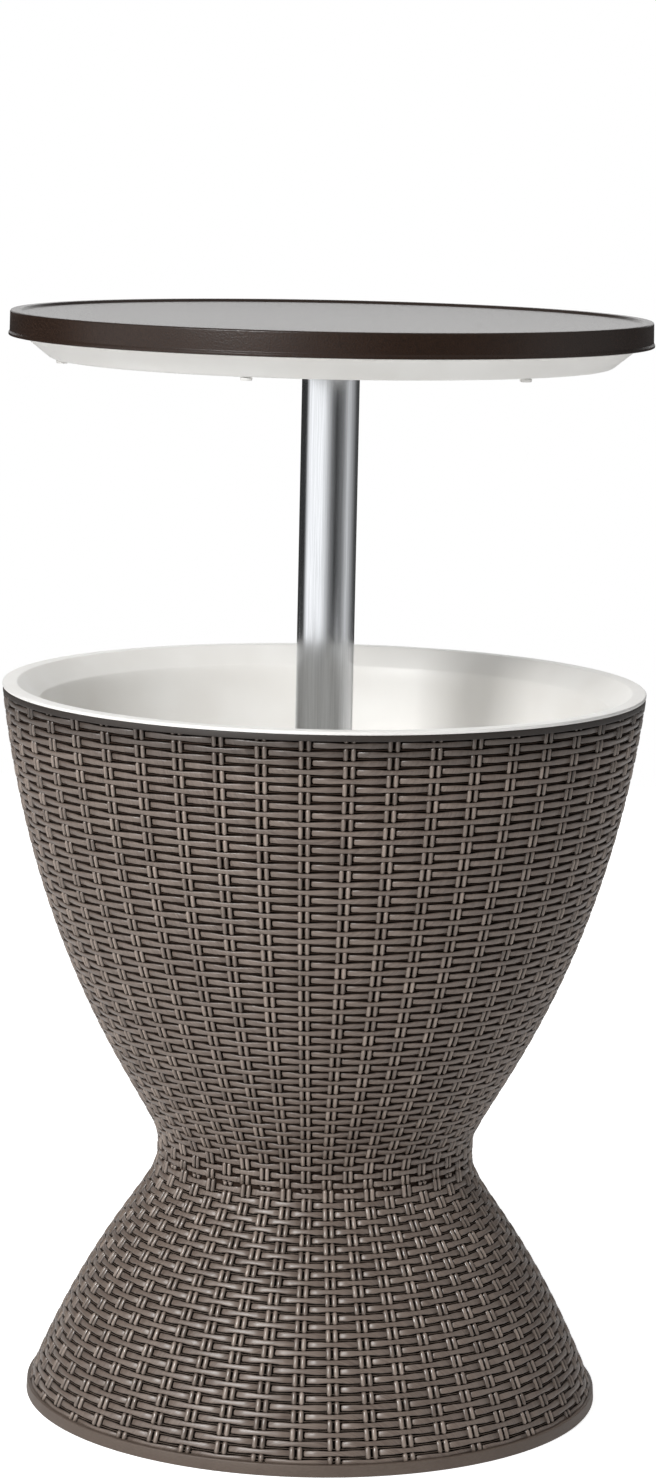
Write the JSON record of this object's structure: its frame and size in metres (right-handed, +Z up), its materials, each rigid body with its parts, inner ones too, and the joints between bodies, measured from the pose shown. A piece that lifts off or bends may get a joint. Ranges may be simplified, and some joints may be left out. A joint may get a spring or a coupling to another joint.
{
  "type": "ice bucket coffee table",
  "caption": "Hourglass ice bucket table with a moulded wicker look: a white bucket with a hollow centre column, and a round top that slides up and down on a mast to close it.",
  "frame": {"origin": "on the floor, at the centre of the foot", "axes": "+Z up along the mast, -Y towards the viewer of the picture, +X to the right"},
  "size_m": [0.494, 0.494, 0.8424],
  "materials": {
    "wicker": "moulded wicker relief, grey brown, satin",
    "top": "dark brown with a fine leather grain",
    "white": "white, smooth, semi-gloss",
    "mast": "satin drawn tube",
    "nylon": "black, moulded",
    "rubber": "black, matte",
    "steel": "stainless"
  },
  "bodies": {
    "base": {"base_skirt": "wicker", "bowl_shell": "wicker", "ice_bucket": "white", "waist_hub": "nylon", "mast_guide": "mast", "guide_cap": "nylon", "column_gasket": "rubber", "ring_nut": "white", "waist_screw_1": "steel", "waist_screw_2": "steel", "waist_screw_3": "steel", "waist_screw_4": "steel", "waist_screw_5": "steel", "waist_screw_6": "steel"},
    "drain_plug": {"drain_plug": "nylon", "drain_seal": "rubber"},
    "lock_carriage": {"lock_bush": "nylon"},
    "mast": {"mast_tube": "mast", "lock_cam": "nylon", "cam_washer": "steel", "cam_screw": "steel", "cam_pin": "steel", "mast_head": "nylon", "head_pin": "steel", "tabletop_cover": "top", "lid_pan": "white", "head_screw_1": "steel", "head_screw_2": "steel", "head_screw_3": "steel", "head_screw_4": "steel", "lid_screw_1": "white", "lid_screw_2": "white", "lid_screw_3": "white", "lid_screw_4": "white", "lid_screw_5": "white", "lid_screw_6": "white"}
  },
  "joints": [
    {"name": "mast_lift", "type": "slide", "parent": "base", "child": "lock_carriage", "axis": [0, 0, 1], "range_m": [-0.264, 0]},
    {"name": "twist_lock", "type": "hinge", "parent": "lock_carriage", "child": "mast", "pos_m": [0, 0, 0.42], "axis": [0, 0, 1], "range_deg": [0, 75]},
    {"name": "drain_plug_pull", "type": "slide", "parent": "base", "child": "drain_plug", "axis": [0, 0, 1], "range_m": [0, 0.03]}
  ]
}
